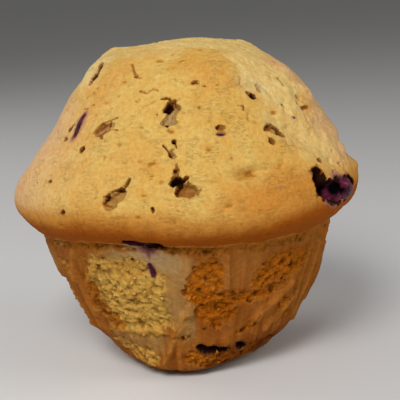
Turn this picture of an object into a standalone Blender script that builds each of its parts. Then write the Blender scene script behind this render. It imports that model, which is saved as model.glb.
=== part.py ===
"""A blueberry muffin out of its paper case: a tapered cup with a wide, uneven cap and berries in it.

Metres, +Z up. The origin is the middle of the flat foot, and the side with the open berry hole at its
right faces -Y. A turn is measured round the muffin from that side towards +X.
"""

from math import atan2, cos, pi, radians, sin

import bmesh
import bpy
import numpy as np

MM = 0.001

# The profile, from the middle of the foot up to the top of the crown, in millimetres
FOOT_R = 22.0
FOOT_ROUNDING = 15.0
NECK_R, NECK_Z = 36.4, 34.0
LIP_R, LIP_Z = 40.4, 37.4
RIM_R, RIM_Z = 42.4, 43.0
SHOULDER_R, SHOULDER_Z = 34.8, 57.0
BROW_R, BROW_Z = 25.6, 70.6
CROWN_Z = 78.6


def foot_corner():
    """Points round the corner from the flat foot to the cup wall."""
    lean = atan2(NECK_R - FOOT_R, NECK_Z)
    centre = FOOT_R + FOOT_ROUNDING * (sin(lean) - 1) / cos(lean)
    turns = np.linspace(-pi / 2, -lean, 7)
    return [(centre + FOOT_ROUNDING * cos(t), FOOT_ROUNDING * (1 + sin(t))) for t in turns]


def profile_stations():
    """The profile's stations: (radius, height) in millimetres."""
    return np.array(
        [(0.0, 0.0), (8.0, 0.0)]
        + foot_corner()
        + [
            ((FOOT_R + 2 * NECK_R) / 3, NECK_Z * 2 / 3),
            (NECK_R, NECK_Z),
            (LIP_R, LIP_Z),
            (RIM_R - 0.5, RIM_Z - 3.0),
            (RIM_R, RIM_Z),
            (RIM_R - 1.0, RIM_Z + 3.8),
            (RIM_R - 3.6, RIM_Z + 8.6),
            (SHOULDER_R, SHOULDER_Z),
            ((SHOULDER_R + BROW_R) / 2 + 0.6, (SHOULDER_Z + BROW_Z) / 2),
            (BROW_R, BROW_Z),
            (BROW_R * 0.75, CROWN_Z - 3.6),
            (BROW_R * 0.4, CROWN_Z - 0.6),
            (0.0, CROWN_Z),
        ]
    )


def smooth_profile(parts):
    """A smooth curve through the stations, with this many points between two of them."""
    stations = profile_stations()
    chord = np.maximum(np.hypot(*np.diff(stations, axis=0).T), 1e-6) ** 0.5
    knots = np.concatenate([[0], np.cumsum(chord)])
    slopes = np.gradient(stations, knots, axis=0)
    slopes[0], slopes[-1] = (2, 0), (-2, 0)
    curve = []
    for k in range(len(stations) - 1):
        span = knots[k + 1] - knots[k]
        for t in np.arange(parts) / parts:
            curve.append(
                (2 * t**3 - 3 * t**2 + 1) * stations[k]
                + (t**3 - 2 * t**2 + t) * span * slopes[k]
                + (3 * t**2 - 2 * t**3) * stations[k + 1]
                + (t**3 - t**2) * span * slopes[k + 1]
            )
    return np.array(curve + [stations[-1]])


# Where the skin leaves the plain profile. Each is a turn in degrees and a height, then in millimetres its
# reach along its own length and across it, the slant of that length from level, and how far it stands out.
SWELLINGS = [
    (-90, 63.0, 16, 10, 0, -1.7),  # flat left flank
    (-95, 71.0, 10, 4, 0, -0.8),
    (-88, 51.5, 12, 4, 0, -0.7),
    (-98, 76.5, 9, 4, 0, 1.1),  # left corner of the crown
    (-90, 78.4, 8, 8, 0, -0.6),
    (92, 65.0, 14, 9, 0, 1.7),  # full right flank
    (90, 57.0, 12, 4, 0, 0.9),
    (102, 76.0, 10, 5, 0, 1.0),
    (90, 53.6, 9, 2.4, 0, 0.9),
    (90, 49.8, 7, 2.4, 0, -1.5),  # notch above the right rim
    (90, 45.0, 16, 5, 0, 0.5),
    (90, 20.0, 16, 9, 0, 1.2),  # right side of the cup
    (-85, 36.5, 12, 3, 0, -0.9),
    (-60, 5.0, 12, 5, 0, -1.9),  # left edge of the foot
    (-10, 3.0, 13, 5, 0, 2.4),  # ragged front edge of the foot
    (52, 3.0, 10, 4, 0, -1.4),
    (51, 56.0, 8, 3, -50, -1.2),  # valley between the front crust and the right rim
    (43, 53.0, 9, 3, -50, 0.6),
    (150, 62.0, 18, 9, 20, 1.0),  # the back goes on in the same way
    (-150, 56.0, 16, 8, -15, -0.9),
    (175, 46.0, 14, 5, 0, 0.6),
    (-135, 20.0, 14, 10, 0, 0.7),
    (140, 14.0, 14, 8, 0, -0.6),
]

# Where the lip and the neck under it rise: turn and spread in degrees, then millimetres
LIP_RISES = [(-28, 32, 2.0), (150, 40, 1.2), (-120, 35, -0.8)]

# Hollows baked into the crust: turn, height, length, width, depth and slant
HOLLOWS = {
    "crown_split": (-55.6, 73.0, 7.8, 1.8, 2.2, 100),
    "high_slot": (-4.5, 64.4, 8.8, 4.0, 2.6, 62),
    "middle_hollow": (0, 49.4, 8.4, 5.6, 3.0, -75),
    "left_hollow": (-21.5, 47.4, 8.6, 3.6, 2.4, 60),
    "right_hollow": (37.5, 58.4, 5.0, 3.0, 1.8, -35),
    "foot_hollow": (18, 7.6, 12.0, 2.8, 2.4, -8),
}

# Berries: turn, height, length, width, thickness, how far the middle lies under the skin, slant, and how
# much longer and wider than the berry its pocket is
BERRIES = {
    "berry_rim": (60.5, 43.6, 12.4, 7.8, 6.8, 3.2, -10, 2.6),
    "berry_lip": (-17.5, 34.6, 9.0, 2.4, 4.2, 1.7, 0, 1.4),
    "berry_crown": (-47, 62.6, 8.0, 1.8, 3.2, 1.5, 79, 1.1),
}


class PlainForm:
    """The plain turned form, and the places on it that the uneven ones are measured from."""

    def __init__(self, parts):
        self.curve = smooth_profile(parts)
        up = np.gradient(self.curve, axis=0)
        self.up = up / np.hypot(*up.T)[:, None]

    def frame(self, turn, height):
        """The point at a turn and height, and the directions round, up the slope and out from it."""
        columns = np.hstack([self.curve, self.up]).T
        r, z, dr, dz = (np.interp(height, self.curve[:, 1], column) for column in columns)
        s, c = sin(radians(turn)), cos(radians(turn))
        up = np.array([dr * s, -dr * c, dz])
        up /= np.linalg.norm(up)
        along = np.array([c, s, 0.0])
        return np.array([r * s, -r * c, z]), along, up, np.cross(along, up)

    def skin(self, turns):
        """Rings of points and of outward directions: rows go up the profile, columns round it."""
        t = np.linspace(0, 2 * pi, turns, endpoint=False)
        around = np.stack([np.sin(t), -np.cos(t)], -1)
        points = np.concatenate(
            [
                self.curve[:, None, :1] * around,
                np.repeat(self.curve[:, None, 1:], turns, 1),
            ],
            -1,
        )
        outward = np.concatenate(
            [
                self.up[:, None, 1:] * around,
                np.repeat(-self.up[:, None, :1], turns, 1),
            ],
            -1,
        )
        return points, outward


def soft_step(low, high, value):
    t = np.clip((value - low) / (high - low), 0, 1)
    return t * t * (3 - 2 * t)


def local(form, points, turn, height, slant):
    """Coordinates along, across and out of the place at this turn and height."""
    place, along, up, out = form.frame(turn, height)
    c, s = cos(radians(slant)), sin(radians(slant))
    away = points - place
    return away @ (c * along + s * up), away @ (c * up - s * along), away @ out


def swelling(form, points):
    """How far the skin stands out from the plain form at each point."""
    total = np.zeros(points.shape[:-1])
    for turn, height, length, width, slant, amount in SWELLINGS:
        u, v, w = local(form, points, turn, height, slant)
        total += amount * np.exp(-((u / length) ** 2) - (v / width) ** 2 - (w / (length + width)) ** 2)
    return total


def lip_rise(points):
    """How far up the lip sits at each point, fading out below the neck and above the rim."""
    turn = np.degrees(np.arctan2(points[..., 0], -points[..., 1]))
    rise = np.zeros(turn.shape)
    for at, spread, amount in LIP_RISES:
        rise += amount * np.exp(-((((turn - at + 180) % 360 - 180) / spread) ** 2))
    heights = points[..., 2]
    return rise * soft_step(20, NECK_Z, heights) * (1 - soft_step(RIM_Z - 3, RIM_Z + 14, heights))


def body_skin(parts, turns):
    """The muffin's outer skin: rings of points from the middle of the foot to the top of the crown."""
    form = PlainForm(parts)
    points, outward = form.skin(turns)
    lift = np.clip(points[..., 2] / 4, 0, 1)
    skin = points + outward * (swelling(form, points) * lift)[..., None]
    skin[..., 2] += lip_rise(points)
    return skin


def icosphere(name, detail):
    """A new unit ball of triangles, centred on the origin."""
    mesh = bpy.data.meshes.new(name)
    ball = bmesh.new()
    bmesh.ops.create_icosphere(ball, subdivisions=detail, radius=1.0)
    ball.to_mesh(mesh)
    ball.free()
    return mesh


def waviness(ball, seed):
    """A smooth random value between about -1 and 1 for each direction from the middle of a ball."""
    rng = np.random.default_rng(seed)
    value = np.zeros(len(ball))
    for _ in range(5):
        direction = rng.normal(size=3)
        direction /= np.linalg.norm(direction)
        value += np.sin(ball @ direction * rng.uniform(2, 5) + rng.uniform(0, 6))
    return value / 3


def set_into(form, name, mesh, place, size, sunk, seed, roughness):
    """An object with this mesh squashed to a size and sunk into the skin, its surface slightly uneven."""
    turn, height, slant = place
    point, along, up, out = form.frame(turn, height)
    c, s = cos(radians(slant)), sin(radians(slant))
    axes = np.array([c * along + s * up, c * up - s * along, out])
    ball = np.array([v.co[:] for v in mesh.vertices])
    ball *= 1 + roughness * waviness(ball, seed)[:, None]
    points = point + (ball * (np.array(size) / 2)) @ axes - out * sunk
    points += np.array([0, 0, lip_rise(point)]) + out * swelling(form, point)
    mesh.vertices.foreach_set("co", (points * MM).ravel())
    mesh.update()
    obj = bpy.data.objects.new(name, mesh)
    bpy.context.scene.collection.objects.link(obj)
    return obj


def add_body(form):
    """The baked crumb, cup and cap in one, as rings of faces closed with a fan at the foot and the crown."""
    skin = body_skin(2, 80)
    skin[..., 2] = np.maximum(skin[..., 2], 0)
    rings, turns = skin.shape[:2]
    points = np.concatenate([skin[0, :1], skin[1:-1].reshape(-1, 3), skin[-1, :1]])
    crown = len(points) - 1
    faces = []
    for k in range(turns):
        n = (k + 1) % turns
        faces.append((0, 1 + n, 1 + k))
        faces.append((crown, crown - turns + k, crown - turns + n))
        for ring in range(rings - 3):
            low, high = 1 + ring * turns, 1 + (ring + 1) * turns
            faces.append((low + k, low + n, high + n, high + k))
    mesh = bpy.data.meshes.new("muffin_body")
    mesh.from_pydata(points * MM, [], faces)
    mesh.shade_smooth()
    body = bpy.data.objects.new("muffin_body", mesh)
    bpy.context.scene.collection.objects.link(body)
    for seed, (name, hollow) in enumerate(HOLLOWS.items()):
        turn, height, length, width, depth, slant = hollow
        size = (length, width, 2 * depth)
        carve(body, set_into(form, name, icosphere(name, 2), (turn, height, slant), size, 0, seed, 0.12))
    for seed, (name, berry) in enumerate(BERRIES.items()):
        turn, height, length, width, thick, sunk, slant, room = berry
        size = (length + room, width + room, thick + room + sunk)
        place = (turn, height, slant)
        pocket = name + "_pocket"
        carve(body, set_into(form, pocket, icosphere(pocket, 2), place, size, sunk / 2, 20 + seed, 0.05))
    return body


def carve(body, cutter):
    """Cuts the cutter's shape out of the body, and hides the cutter."""
    cutter.hide_render = True
    cutter.display_type = "WIRE"
    cut = body.modifiers.new(cutter.name, "BOOLEAN")
    cut.operation = "DIFFERENCE"
    cut.solver = "EXACT"
    cut.object = cutter


def add_berries(form, skin_of_berry):
    """The berries that show, each loose in its pocket by a small gap."""
    for seed, (name, berry) in enumerate(BERRIES.items()):
        turn, height, length, width, thick, sunk, slant, _ = berry
        size = (length, width, thick)
        obj = set_into(form, name, icosphere(name, 3), (turn, height, slant), size, sunk, 40 + seed, 0.05)
        obj.data.shade_smooth()
        obj.data.materials.append(skin_of_berry)


def plain_material(name, colour, roughness):
    material = bpy.data.materials.new(name)
    material.use_nodes = True
    shader = material.node_tree.nodes["Principled BSDF"]
    shader.inputs["Base Color"].default_value = (*colour, 1)
    shader.inputs["Roughness"].default_value = roughness
    return material


def main():
    for obj in list(bpy.data.objects):
        bpy.data.objects.remove(obj)
    form = PlainForm(24)
    body = add_body(form)
    body.data.materials.append(plain_material("baked_crumb", (0.62, 0.38, 0.10), 0.75))
    add_berries(form, plain_material("berry_skin", (0.09, 0.02, 0.045), 0.35))


main()
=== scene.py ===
from functools import reduce
from math import atan2, cos, pi, radians, sin

import bmesh
import bpy
import numpy as np
from mathutils import Matrix, Vector


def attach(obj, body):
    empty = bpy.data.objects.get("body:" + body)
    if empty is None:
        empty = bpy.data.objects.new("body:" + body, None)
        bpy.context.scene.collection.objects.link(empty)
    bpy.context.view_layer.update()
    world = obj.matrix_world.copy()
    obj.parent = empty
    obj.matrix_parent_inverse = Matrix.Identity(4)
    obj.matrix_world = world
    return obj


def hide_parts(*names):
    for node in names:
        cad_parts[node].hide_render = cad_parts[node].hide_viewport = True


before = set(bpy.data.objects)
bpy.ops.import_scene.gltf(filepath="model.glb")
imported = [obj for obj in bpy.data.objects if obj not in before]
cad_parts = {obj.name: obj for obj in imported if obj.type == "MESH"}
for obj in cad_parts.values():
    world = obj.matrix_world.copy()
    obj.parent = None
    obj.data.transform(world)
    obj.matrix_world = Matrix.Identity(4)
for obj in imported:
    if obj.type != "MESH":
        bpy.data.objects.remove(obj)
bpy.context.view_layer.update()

mm = 0.001
scene = bpy.context.scene


class NodePen:
    # writes one node tree: a plain value is set on its input, another node's output is linked to it

    def __init__(self, tree, colours=None):
        self.tree, self.colours = tree, colours

    def feed(self, node, inputs):
        for key, value in dict(inputs).items():
            if isinstance(value, bpy.types.NodeSocket):
                self.tree.links.new(value, node.inputs[key])
            else:
                node.inputs[key].default_value = value
        return node

    def put(self, kind, inputs=(), **settings):
        node = self.tree.nodes.new(kind)
        for name, value in settings.items():
            setattr(node, name, value)
        return self.feed(node, inputs)

    def made(self, kind, inputs=(), **settings):
        # the first output of a new node
        return self.put(kind, inputs, **settings).outputs[0]

    def maths(self, operation, *values):
        return self.made("ShaderNodeMath", dict(enumerate(values)), operation=operation)

    def chain(self, operation, values):
        return reduce(lambda first, second: self.maths(operation, first, second), values)

    def plus(self, *values):
        return self.chain("ADD", values)

    def less(self, *values):
        return self.chain("SUBTRACT", values)

    def times(self, *values):
        return self.chain("MULTIPLY", values)

    def line(self, value, slope, start):
        return self.maths("MULTIPLY_ADD", value, slope, start)

    def centred(self, value, span):
        # a value from 0 to 1 spread evenly round 0
        return self.line(value, span, -span / 2)

    def step(self, value, low, high, toLow=0.0, toHigh=1.0):
        # smooth step from low to high, given as toLow to toHigh
        inputs = {0: value, 1: low, 2: high, 3: toLow, 4: toHigh}
        return self.made("ShaderNodeMapRange", inputs, interpolation_type="SMOOTHSTEP")

    def vector(self, operation, first, second):
        return self.made("ShaderNodeVectorMath", {0: first, 1: second}, operation=operation)

    def scaled(self, vector, factor):
        return self.made("ShaderNodeVectorMath", {0: vector, "Scale": factor}, operation="SCALE")

    def noise(self, where, size, detail=2.0, roughness=0.5, warp=0.0):
        # lumps about this many metres across, between 0 and 1
        inputs = {"Vector": where, "Scale": 1 / size, "Detail": detail}
        inputs.update({"Roughness": roughness, "Distortion": warp})
        return self.made("ShaderNodeTexNoise", inputs)

    def push(self, where, scale, detail, amount):
        # a random push of about this length any way
        inputs = {"Vector": where, "Scale": scale, "Detail": detail}
        colour = self.put("ShaderNodeTexNoise", inputs).outputs[1]
        return self.scaled(self.vector("SUBTRACT", colour, (0.5, 0.5, 0.5)), amount)

    def cells(self, where, size=1.0, feature="F1", **more):
        inputs = {"Vector": where, "Scale": 1 / size, **more}
        return self.put("ShaderNodeTexVoronoi", inputs, feature=feature)

    def stored(self, name):
        # a value kept on the mesh
        if self.tree.bl_idname == "GeometryNodeTree":
            return self.made("GeometryNodeInputNamedAttribute", {"Name": name}, data_type="FLOAT")
        return self.put("ShaderNodeAttribute", attribute_name=name).outputs["Fac"]

    def colour(self, name):
        return (*self.colours[name], 1.0)

    def blend(self, factor, first, second, mode="MIX"):
        inputs, settings = {0: factor, 6: first, 7: second}, {"data_type": "RGBA", "blend_type": mode}
        return self.put("ShaderNodeMix", inputs, clamp_factor=True, **settings).outputs[2]

    def over(self, base, name, factor=1.0):
        # a named colour laid over what is there
        return self.blend(factor, base, self.colour(name))

    def relieved(self, height, strength, distance):
        inputs = {"Strength": strength, "Distance": distance, "Height": height}
        return self.made("ShaderNodeBump", inputs)


def newMaterial(name, colours=None):
    material = bpy.data.materials.new(name)
    material.use_nodes = True
    tree = material.node_tree
    return material, NodePen(tree, colours), tree.nodes["Principled BSDF"]


def newObject(name, data):
    thing = bpy.data.objects.new(name, data)
    scene.collection.objects.link(thing)
    return thing


studio = {  # metres, watts, and degrees of roll
    "cameraPlace": (0.0, -0.2923, 0.0975), "cameraAim": (0.0035, 0.0019, 0.0381), "cameraRoll": -3.6,
    "lens": 106.7,
    "keyPlace": (-0.15, -0.48, 0.46), "keySize": 0.26, "keyWatts": 3.5,
    "fillPlace": (0.50, -0.20, 0.30), "fillSize": 0.4, "fillWatts": 1.15,
    "backPlace": (-0.45, 0.25, 0.38), "backSize": 0.4, "backWatts": 1.1,
    "lightAim": (0, 0, 0.04), "skyStrength": 0.15,
    "floorReach": 5.0, "floorColour": (0.66, 0.65, 0.635), "floorRoughness": 0.8,
}


def aimed(name, data, place, target, roll=0.0):
    thing = newObject(name, data)
    thing.location = place
    look = (Vector(target) - Vector(place)).to_track_quat("-Z", "Y").to_matrix()
    thing.rotation_euler = (look @ Matrix.Rotation(radians(roll), 3, "Z")).to_euler()
    return thing


def buildStudio():
    lens = bpy.data.cameras.new("muffinCamera")
    lens.lens, lens.sensor_width, lens.clip_start = studio["lens"], 36, 0.01
    place, target, roll = (studio["camera" + key] for key in ("Place", "Aim", "Roll"))
    scene.camera = aimed("muffinCamera", lens, place, target, roll)
    for side in ("key", "fill", "back"):
        lamp = bpy.data.lights.new(side + "Light", "AREA")
        lamp.size, lamp.energy = studio[side + "Size"], studio[side + "Watts"]
        aimed(side + "Light", lamp, studio[side + "Place"], studio["lightAim"])
    world = bpy.data.worlds.new("paleRoom")
    world.use_nodes = True
    world.node_tree.nodes["Background"].inputs[0].default_value = (1, 1, 1, 1)
    world.node_tree.nodes["Background"].inputs[1].default_value = studio["skyStrength"]
    scene.world = world
    scene.view_settings.view_transform = "Standard"

    mesh = bpy.data.meshes.new("floor")
    reach = studio["floorReach"]
    corners = [(reach * x, reach * y, 0) for x, y in ((-1, -1), (1, -1), (1, 1), (-1, 1))]
    mesh.from_pydata(corners, [], [(0, 1, 2, 3)])
    floor = newObject("floor", mesh)
    paint, pen, shader = newMaterial("paleFloor")
    pen.feed(shader, {"Base Color": (*studio["floorColour"], 1), "Roughness": studio["floorRoughness"]})
    mesh.materials.append(paint)


print("muffin: camera, light and floor")
buildStudio()


# the baked form is a plain turned shape, with swellings that make it uneven
profileSizes = {  # millimetres
    "footRadius": 22.0, "footRounding": 15.0,
    "neck": (36.4, 34.0), "lip": (40.4, 37.4), "rim": (42.4, 43.0),
    "shoulder": (34.8, 57.0), "brow": (25.6, 70.6), "crown": 78.6,
    "ringStep": 0.27, "footStep": 1.6, "columns": 760, "frontBias": 0.42,
}

# where the skin leaves the plain profile: turn from the front in degrees, height, reach along and across,
# slant from level in degrees, and how far it stands out; lengths here and below are in millimetres
swellings = [
    (-90, 63, 16, 10, 0, -1.7), (-95, 71, 10, 4, 0, -0.8), (-88, 51.5, 12, 4, 0, -0.7),
    (-98, 76.5, 9, 4, 0, 1.1), (-90, 78.4, 8, 8, 0, -0.6), (92, 65, 14, 9, 0, 1.7), (90, 57, 12, 4, 0, 0.9),
    (102, 76, 10, 5, 0, 1), (90, 53.6, 9, 2.4, 0, 0.9), (90, 49.8, 7, 2.4, 0, -1.5),
    (90, 45, 16, 5, 0, 0.5), (90, 20, 16, 9, 0, 1.2), (-85, 36.5, 12, 3, 0, -0.9), (-60, 5, 12, 5, 0, -1.9),
    (-10, 3, 13, 5, 0, 2.4), (52, 3, 10, 4, 0, -1.4), (51, 56, 8, 3, -50, -1.2), (43, 53, 9, 3, -50, 0.6),
    (150, 62, 18, 9, 20, 1), (-150, 56, 16, 8, -15, -0.9), (175, 46, 14, 5, 0, 0.6),
    (-135, 20, 14, 10, 0, 0.7), (140, 14, 14, 8, 0, -0.6), (86, 50.4, 6, 1.2, 0, 1.5),
    (87, 45.4, 5, 0.9, 0, 0.7), (84, 63.8, 4, 1.6, 0, 0.6), (-63, 73.2, 5, 1.8, 100, 1.3),
    (-50.5, 72.6, 4, 1.6, 100, -0.5), (-60, 70, 2.5, 1.5, 60, 0.5), (21, 51.3, 4, 1.2, 4, -1.9),
    (-5.2, 48.5, 2.2, 0.9, 20, -0.4), (32, 51.8, 1.8, 0.9, 4, -0.5), (12, 44.6, 1.6, 1, 20, -0.5),
    (8, 56.6, 3, 1.6, 0, -0.3), (-5, 49.3, 2.6, 1.2, -20, 0.5), (-21, 42.6, 2.6, 1.6, 30, 0.45),
    (62.5, 62.5, 3.2, 1.2, -70, -0.9), (74, 64.2, 3.4, 1.5, -60, 1.1), (57, 66.5, 3, 2, 0, 0.6),
    (-40, 78, 6, 1.2, 20, -0.4), (-12, 71.5, 3, 0.9, 10, -0.3), (-33, 70.8, 1, 2.2, 0, -0.6),
    (66, 50.5, 3.2, 1.6, -50, 0.6), (75, 56, 3, 2, 0, -0.6), (70, 70, 3, 2, 0, 0.5),
]

lipRises = [(-28, 32, 2.0), (150, 40, 1.2), (-120, 35, -0.8)]  # turn, spread, millimetres


def softStep(low, high, value):
    t = np.clip((value - low) / (high - low), 0, 1)
    return t * t * (3 - 2 * t)


def turnFrom(turns, middle):
    return (turns - middle + 180) % 360 - 180


def cloud(points, size, seed, octaves=1):
    # smooth random values, about -1 to 1, with lumps of this size in millimetres
    table = np.random.default_rng(seed).uniform(-1, 1, 32**3)
    total, weight, heavy = 0.0, 1.0, 0.0
    for octave in range(octaves):
        q = points * 2**octave / size + 51.3
        whole = np.floor(q)
        f = q - whole
        f = f * f * (3 - 2 * f)
        low = whole.astype(np.int32) & 31
        high = (low + 1) & 31
        value = 0.0
        for k, fz in ((low[..., 2], 1 - f[..., 2]), (high[..., 2], f[..., 2])):
            for j, fy in ((low[..., 1], 1 - f[..., 1]), (high[..., 1], f[..., 1])):
                row = (k * 32 + j) * 32
                near, far = table[row + low[..., 0]], table[row + high[..., 0]]
                value = value + fz * fy * (near + (far - near) * f[..., 0])
        total = total + weight * value
        heavy += weight
        weight *= 0.5
    return total / heavy * 1.6


def plainProfile():
    # (radius, height) along the profile from the middle of the foot up, as a smooth curve
    sizes = profileSizes
    footRadius, rounding = sizes["footRadius"], sizes["footRounding"]
    (neckR, neckZ), (lipR, lipZ), (rimR, rimZ) = sizes["neck"], sizes["lip"], sizes["rim"]
    (shoulderR, shoulderZ), (browR, browZ), crown = sizes["shoulder"], sizes["brow"], sizes["crown"]
    lean = atan2(neckR - footRadius, neckZ)
    centre = footRadius + rounding * (sin(lean) - 1) / cos(lean)
    corner = [(centre + rounding * cos(t), rounding * (1 + sin(t))) for t in np.linspace(-pi / 2, -lean, 7)]
    stations = np.array(
        [(0.0, 0.0), (8.0, 0.0)] + corner + [
            ((footRadius + 2 * neckR) / 3, neckZ * 2 / 3), (neckR, neckZ), (lipR, lipZ),
            (rimR - 0.5, rimZ - 3.0), (rimR, rimZ), (rimR - 1.0, rimZ + 3.8), (rimR - 3.6, rimZ + 8.6),
            (shoulderR, shoulderZ), ((shoulderR + browR) / 2 + 0.6, (shoulderZ + browZ) / 2), (browR, browZ),
            (browR * 0.75, crown - 3.6), (browR * 0.4, crown - 0.6), (0.0, crown),
        ])
    chord = np.maximum(np.hypot(*np.diff(stations, axis=0).T), 1e-6) ** 0.5
    knots = np.concatenate([[0], np.cumsum(chord)])
    slopes = np.gradient(stations, knots, axis=0)
    slopes[0], slopes[-1] = (2, 0), (-2, 0)
    curve = []
    for k in range(len(stations) - 1):
        span = knots[k + 1] - knots[k]
        for t in np.arange(24) / 24:
            curve.append((2 * t**3 - 3 * t**2 + 1) * stations[k] + (t**3 - 2 * t**2 + t) * span * slopes[k]
                         + (3 * t**2 - 2 * t**3) * stations[k + 1] + (t**3 - t**2) * span * slopes[k + 1])
    return np.array(curve + [stations[-1]])


class BakedForm:
    # the plain turned form, and the places on it that everything else is measured from

    def __init__(self):
        self.curve = plainProfile()
        up = np.gradient(self.curve, axis=0)
        self.up = up / np.hypot(*up.T)[:, None]
        self.length = np.concatenate([[0], np.cumsum(np.hypot(*np.diff(self.curve, axis=0).T))])

    def frame(self, turn, height):
        # the point at a turn and height, and the directions round, up the slope and out from it
        columns = np.hstack([self.curve, self.up]).T
        r, z, dr, dz = (np.interp(height, self.curve[:, 1], column) for column in columns)
        s, c = sin(radians(turn)), cos(radians(turn))
        up = np.array([dr * s, -dr * c, dz])
        up /= np.linalg.norm(up)
        along = np.array([c, s, 0.0])
        return np.array([r * s, -r * c, z]), along, up, np.cross(along, up)

    def slanted(self, turn, height, slant):
        # the same, with the first two directions turned by a slant from level
        place, along, up, out = self.frame(turn, height)
        c, s = cos(radians(slant)), sin(radians(slant))
        return place, np.array([c * along + s * up, c * up - s * along, out])

    def grid(self):
        # rings of points, outward directions, turns and the way up the profile
        sizes, end = profileSizes, self.length[-1]
        flat = np.arange(0, sizes["footRadius"] - 6, sizes["footStep"])
        rings = int((end - flat[-1]) / sizes["ringStep"])
        way = np.concatenate([flat, np.linspace(flat[-1] + sizes["footStep"], end, rings)])
        values = np.hstack([self.curve, self.up])
        r, z, dr, dz = (np.interp(way, self.length, column)[:, None] for column in values.T)
        u = np.linspace(-pi, pi, sizes["columns"], endpoint=False)[None, :]
        turns = np.degrees(u - sizes["frontBias"] * np.sin(u))  # columns lie closer at the front
        s, c = np.sin(np.radians(turns)), np.cos(np.radians(turns))
        level = np.ones_like(s)
        points = np.stack([r * s, -r * c, z * level], -1)
        outward = np.stack([dz * s, -dz * c, -dr * level], -1)
        outward /= np.linalg.norm(outward, axis=-1, keepdims=True)
        return points, outward, turns * np.ones_like(r), way[:, None] / end * level


form = BakedForm()


def localTo(points, turn, height, slant=0.0):
    # coordinates along, across and out of the place at this turn and height
    place, axes = form.slanted(turn, height, slant)
    return [(points - place) @ axis for axis in axes]


def swelling(points):
    total = np.zeros(points.shape[:-1])
    for turn, height, length, width, slant, amount in swellings:
        u, v, w = localTo(points, turn, height, slant)
        total += amount * np.exp(-((u / length) ** 2) - (v / width) ** 2 - (w / (length + width)) ** 2)
    return total


def lipRise(points, turns):
    rise = np.zeros(points.shape[:-1])
    for at, spread, amount in lipRises:
        rise += amount * np.exp(-((turnFrom(turns, at) / spread) ** 2))
    height, rimZ = points[..., 2], profileSizes["rim"][1]
    return rise * softStep(20, profileSizes["neck"][1], height) * (1 - softStep(rimZ - 3, rimZ + 14, height))


# hollows in the crust, each made of ovals: turn, height, length, width, slant, depth, and how much painted
# shade lies inside
hollows = {
    "highSlot": [
        (-3.9, 64.5, 7, 3.5, 66, 1.4, 0.08), (-2.2, 66, 3, 2, -40, 1.4, 0.15),
        (-6.6, 65.5, 2.7, 2.4, 25, 2.8, 1), (-5.2, 66.4, 2.6, 1.6, 45, 2.4, 0.95),
        (-3.6, 67.1, 2.6, 0.9, 5, 2, 0.8), (-1.4, 66.5, 2.2, 0.7, -50, 1.6, 0.5),
        (-3.6, 64.2, 1.2, 0.4, 80, 2, 0.8), (-5.6, 62.1, 1.5, 1.3, 30, 1.5, 0.6),
    ],
    "slotPits": [
        (-3.2, 58.6, 1.3, 1.2, 0, 1.7, 0.9), (-4.2, 57, 2.6, 1.9, 60, 1.1, 0.4),
        (-3.5, 55.7, 1, 0.7, 0, 0.5, 0),
    ],
    "middleHollow": [
        (-1.6, 50.4, 3.8, 2.9, 5, 3, 1), (0.2, 51.1, 2, 1.2, 15, 2.2, 0.9),
        (-3.6, 50, 1.8, 2, 0, 2.4, 0.95), (0.6, 48.4, 4.8, 4.2, -50, 1.7, 0.42),
        (-0.6, 49.4, 3, 2.4, 0, 1.8, 0.5), (-2.4, 52.7, 0.8, 1.9, 0, 1, 0.5),
    ],
    "leftHollow": [(-22, 46.3, 6.4, 3.9, 52, 1.4, 0.12)],
    "rightHollow": [(38.6, 58.6, 4.6, 2.5, -35, 1.2, 0.1), (34.6, 56.7, 1.3, 1.6, 60, 1.6, 0.6)],
    "roundHole": [
        (34.6, 66.4, 1.8, 1.7, 20, 2.3, 1), (33.2, 67.4, 1.2, 0.8, -40, 1.1, 0.6),
        (40, 67.8, 2.2, 1.5, 60, 0.5, 0),
    ],
    "rimHole": [
        (47.3, 46.2, 7.8, 4.2, -78, 6, 1), (55, 43.4, 13, 6.2, -6, 6, 1), (63, 43.2, 12, 5.8, -4, 5.5, 1),
    ],
    "lipSlit": [(-16.5, 34.9, 10.5, 2.2, 0, 2.4, 1), (-14, 34, 6, 1.8, -8, 1.8, 1)],
    "footHollow": [
        (8, 7.7, 7, 2, -6, 1.6, 1), (3, 8.4, 3, 1.5, 0, 1.2, 0.8), (14.5, 6.9, 3, 1.4, 0, 1.4, 0.9),
        (25, 7.6, 3.6, 1.8, -40, 1.6, 1),
    ],
    "networkIslands": [(-31.5, 61.8, 5, 2.2, 25, 0.55, 0.25)],
    "topPit": [
        (7.2, 70.7, 1.8, 1.1, 20, 1.3, 0.8), (9.6, 70.7, 1.2, 0.5, -30, 0.7, 0.5),
        (13, 69.9, 1, 0.7, 0, 0.7, 0.5),
    ],
    "purplePit": [(15, 60.9, 1.9, 1.1, 0, 1.1, 0.5), (15, 59.5, 2.2, 0.9, 0, 0.8, 0)],
}
greyFloors = ("highSlot", "slotPits", "roundHole", "networkIslands")  # where the crumb floor is greyer
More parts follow.
